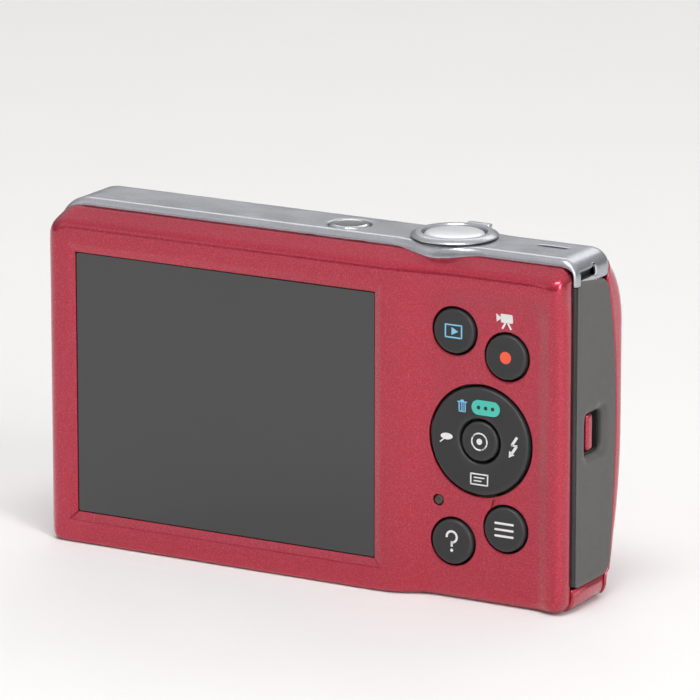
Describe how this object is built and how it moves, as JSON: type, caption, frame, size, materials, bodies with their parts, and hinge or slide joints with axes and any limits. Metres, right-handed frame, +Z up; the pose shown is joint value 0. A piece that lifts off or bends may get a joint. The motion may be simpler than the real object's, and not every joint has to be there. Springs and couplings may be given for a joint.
{
  "type": "compact digital camera",
  "caption": "Slim red compact camera with a silver top, rear display, round rear buttons, retracting lens and a rubber cover on the grip end.",
  "frame": {"origin": "centre of the underside of the body's bounding box, on the surface it stands on", "axes": "+X from the grip end to the other end, +Y towards the display side, +Z up; the lens looks along -Y"},
  "size_m": [0.0952, 0.0236, 0.0582],
  "materials": {
    "red_paint": "metallic red lacquer under a clear coat, fine bright flake, polished edges",
    "silver_top": "fine satin anodised aluminium",
    "bright_metal": "bright satin metal",
    "button_white": "pearl satin plastic",
    "rubber": "soft matt rubber, dark grey",
    "black_button": "fine matt black plastic with printed symbols",
    "dark_plastic": "moulded black plastic",
    "display_glass": "dark hard-coated display window",
    "panel_layers": "laminated display layers",
    "white_plastic": "white reflector plastic",
    "steel": "stamped steel",
    "board": "green solder mask",
    "chip_black": "moulded chip body",
    "optical_glass": "coated optical glass",
    "flash_plastic": "clear ribbed plastic",
    "lamp_plastic": "clear orange plastic",
    "battery_skin": "grey battery wrap",
    "card_blue": "blue card case",
    "latch_orange": "orange latch",
    "gold": "gold-plated spring contacts",
    "sensor": "sensor cover glass",
    "lamp_cover": "smoked lamp window"
  },
  "bodies": {
    "camera": {"rear_cover": "red_paint", "front_cover": "red_paint", "top_cover": "silver_top", "end_plate": "dark_plastic", "side_pad": "rubber", "strap_cup": "dark_plastic", "strap_bar": "red_paint", "display_window": "display_glass", "lcd_panel": "panel_layers", "backlight": "white_plastic", "lcd_frame": "steel", "status_led": "lamp_cover", "key_board": "board", "key_domes": "steel", "shutter_spring": "steel", "top_board": "board", "lens_ring": "bright_metal", "lens_housing": "dark_plastic", "rear_lens": "optical_glass", "image_sensor": "sensor", "zoom_motor": "steel", "flash_window": "flash_plastic", "flash_reflector": "bright_metal", "flash_tube": "flash_plastic", "flash_capacitor": "chip_black", "af_lamp_lens": "lamp_plastic", "microphone": "steel", "speaker": "chip_black", "tripod_socket": "steel", "main_board": "board", "processor_chip": "chip_black", "battery_holder": "dark_plastic", "card_socket": "steel", "memory_card": "card_blue", "battery_pack": "battery_skin", "battery_contacts": "gold", "usb_port": "steel", "body_screws": "steel"},
    "flap": {"terminal_flap": "rubber"},
    "slider": {"door_slider": "steel", "door_hinge_pin": "steel"},
    "door": {"battery_door": "red_paint"},
    "latch": {"battery_latch": "latch_orange"},
    "playback_key": {"playback_button": "black_button"},
    "movie_key": {"movie_button": "black_button"},
    "help_key": {"help_button": "black_button"},
    "menu_key": {"menu_button": "black_button"},
    "func_key": {"func_button": "black_button"},
    "pad_plate": {"dpad_plate": "steel"},
    "pad_ring": {"dpad_ring": "black_button"},
    "shutter_key": {"shutter_button": "button_white"},
    "zoom_ring": {"zoom_lever": "bright_metal"},
    "power_key": {"power_button": "bright_metal"},
    "cam": {"cam_ring": "steel"},
    "barrel": {"outer_barrel": "silver_top"},
    "front_barrel": {"inner_barrel": "silver_top", "front_lens": "optical_glass"},
    "blade_up": {"upper_blade": "dark_plastic"},
    "blade_down": {"lower_blade": "dark_plastic"}
  },
  "joints": [
    {"name": "playback_press", "type": "slide", "parent": "camera", "child": "playback_key", "axis": [0, -1, 0], "range_m": [0, 0.0004], "stiffness_N_per_m": 1500},
    {"name": "movie_press", "type": "slide", "parent": "camera", "child": "movie_key", "axis": [0, -1, 0], "range_m": [0, 0.0004], "stiffness_N_per_m": 1500},
    {"name": "help_press", "type": "slide", "parent": "camera", "child": "help_key", "axis": [0, -1, 0], "range_m": [0, 0.0004], "stiffness_N_per_m": 1500},
    {"name": "menu_press", "type": "slide", "parent": "camera", "child": "menu_key", "axis": [0, -1, 0], "range_m": [0, 0.0004], "stiffness_N_per_m": 1500},
    {"name": "func_press", "type": "slide", "parent": "camera", "child": "func_key", "axis": [0, -1, 0], "range_m": [0, 0.00035], "stiffness_N_per_m": 1500},
    {"name": "pad_rock_up_down", "type": "hinge", "parent": "camera", "child": "pad_plate", "pos_m": [-0.03175, 0.0074, 0.0266], "axis": [1, 0, 0], "range_deg": [-2, 2], "stiffness_Nm_per_rad": 0.08},
    {"name": "pad_rock_left_right", "type": "hinge", "parent": "pad_plate", "child": "pad_ring", "pos_m": [-0.03175, 0.0074, 0.0266], "axis": [0, 0, 1], "range_deg": [-2, 2], "stiffness_Nm_per_rad": 0.08},
    {"name": "shutter_press", "type": "slide", "parent": "camera", "child": "shutter_key", "axis": [0, 0, -1], "range_m": [0, 0.0009], "stiffness_N_per_m": 900, "deforming": ["shutter_spring"]},
    {"name": "zoom_turn", "type": "hinge", "parent": "camera", "child": "zoom_ring", "pos_m": [-0.023, 0.0023, 0.0573], "axis": [0, 0, 1], "range_deg": [-20, 20], "stiffness_Nm_per_rad": 0.02},
    {"name": "power_press", "type": "slide", "parent": "camera", "child": "power_key", "axis": [0, 0, -1], "range_m": [0, 0.0005], "stiffness_N_per_m": 900},
    {"name": "flap_swing", "type": "hinge", "parent": "camera", "child": "flap", "pos_m": [-0.0476, 0.0008, 0.0332], "axis": [0, -1, 0], "range_deg": [0, 100]},
    {"name": "door_slide", "type": "slide", "parent": "camera", "child": "slider", "axis": [-1, 0, 0], "range_m": [0, 0.003]},
    {"name": "door_swing", "type": "hinge", "parent": "slider", "child": "door", "pos_m": [-0.0295, -0.0019, 0.001], "axis": [-1, 0, 0], "range_deg": [0, 95]},
    {"name": "latch_slide", "type": "slide", "parent": "camera", "child": "latch", "axis": [1, 0, 0], "range_m": [0, 0.0015], "stiffness_N_per_m": 150},
    {"name": "lens_extend", "type": "slide", "parent": "camera", "child": "barrel", "axis": [0, -1, 0], "range_m": [0, 0.01]},
    {"name": "inner_extend", "type": "slide", "parent": "barrel", "child": "front_barrel", "axis": [0, -1, 0], "range_m": [0, 0.009]},
    {"name": "cam_turn", "type": "hinge", "parent": "camera", "child": "cam", "pos_m": [0.01, 0, 0.028], "axis": [0, 1, 0], "range_deg": [0, 150]},
    {"name": "upper_blade_swing", "type": "hinge", "parent": "front_barrel", "child": "blade_up", "pos_m": [0.021, -0.0101, 0.028], "axis": [0, 1, 0], "range_deg": [0, 30]},
    {"name": "lower_blade_swing", "type": "hinge", "parent": "front_barrel", "child": "blade_down", "pos_m": [-0.001, -0.0101, 0.028], "axis": [0, 1, 0], "range_deg": [0, 30]}
  ],
  "couplings": [
    {"joint": "inner_extend", "follows": "lens_extend", "ratio": 0.9},
    {"joint": "cam_turn", "follows": "lens_extend", "rad_per_m": 261.79},
    {"joint": "upper_blade_swing", "follows": "lens_extend", "rad_per_m": 52.35},
    {"joint": "lower_blade_swing", "follows": "lens_extend", "rad_per_m": 52.35}
  ]
}
